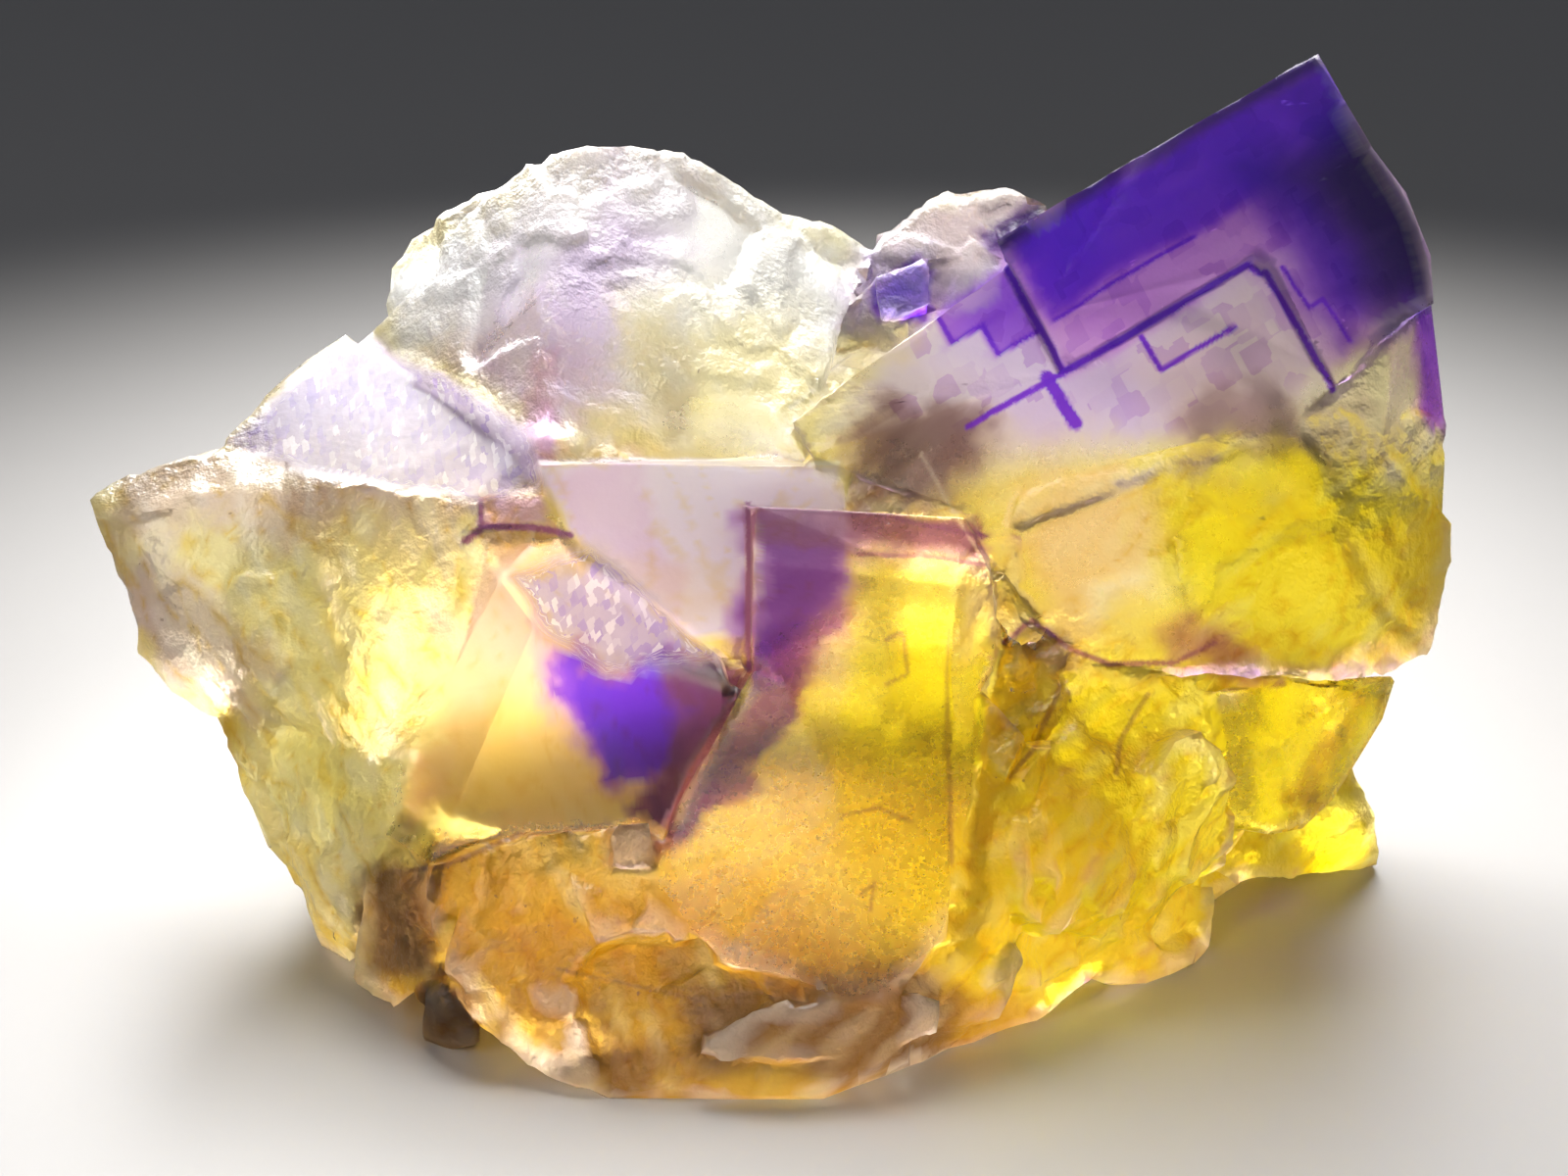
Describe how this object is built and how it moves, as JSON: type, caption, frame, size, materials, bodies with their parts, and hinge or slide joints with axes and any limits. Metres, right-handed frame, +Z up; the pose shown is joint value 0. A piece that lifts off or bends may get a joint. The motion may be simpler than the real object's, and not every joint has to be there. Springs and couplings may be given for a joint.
{
  "type": "fluorite specimen",
  "caption": "Cluster of intergrown translucent crystals with stepped cube faces, broken ledges and a flat cut underside, standing free on a table.",
  "frame": {"origin": "middle of the whole specimen's outline on the table, at the height of the flat cut underside", "axes": "+X runs to the right along the longest side, towards the tall violet crystal; the side with the crystal faces looks to -Y; +Z up"},
  "size_m": [0.0711, 0.045, 0.0447],
  "materials": {
    "fluorite": "see-through crystal, glossy on the crystal faces and frosted on the breaks; yellow, with violet zones"
  },
  "bodies": {
    "root": {"fluorite_cluster": "fluorite"}
  },
  "joints": []
}
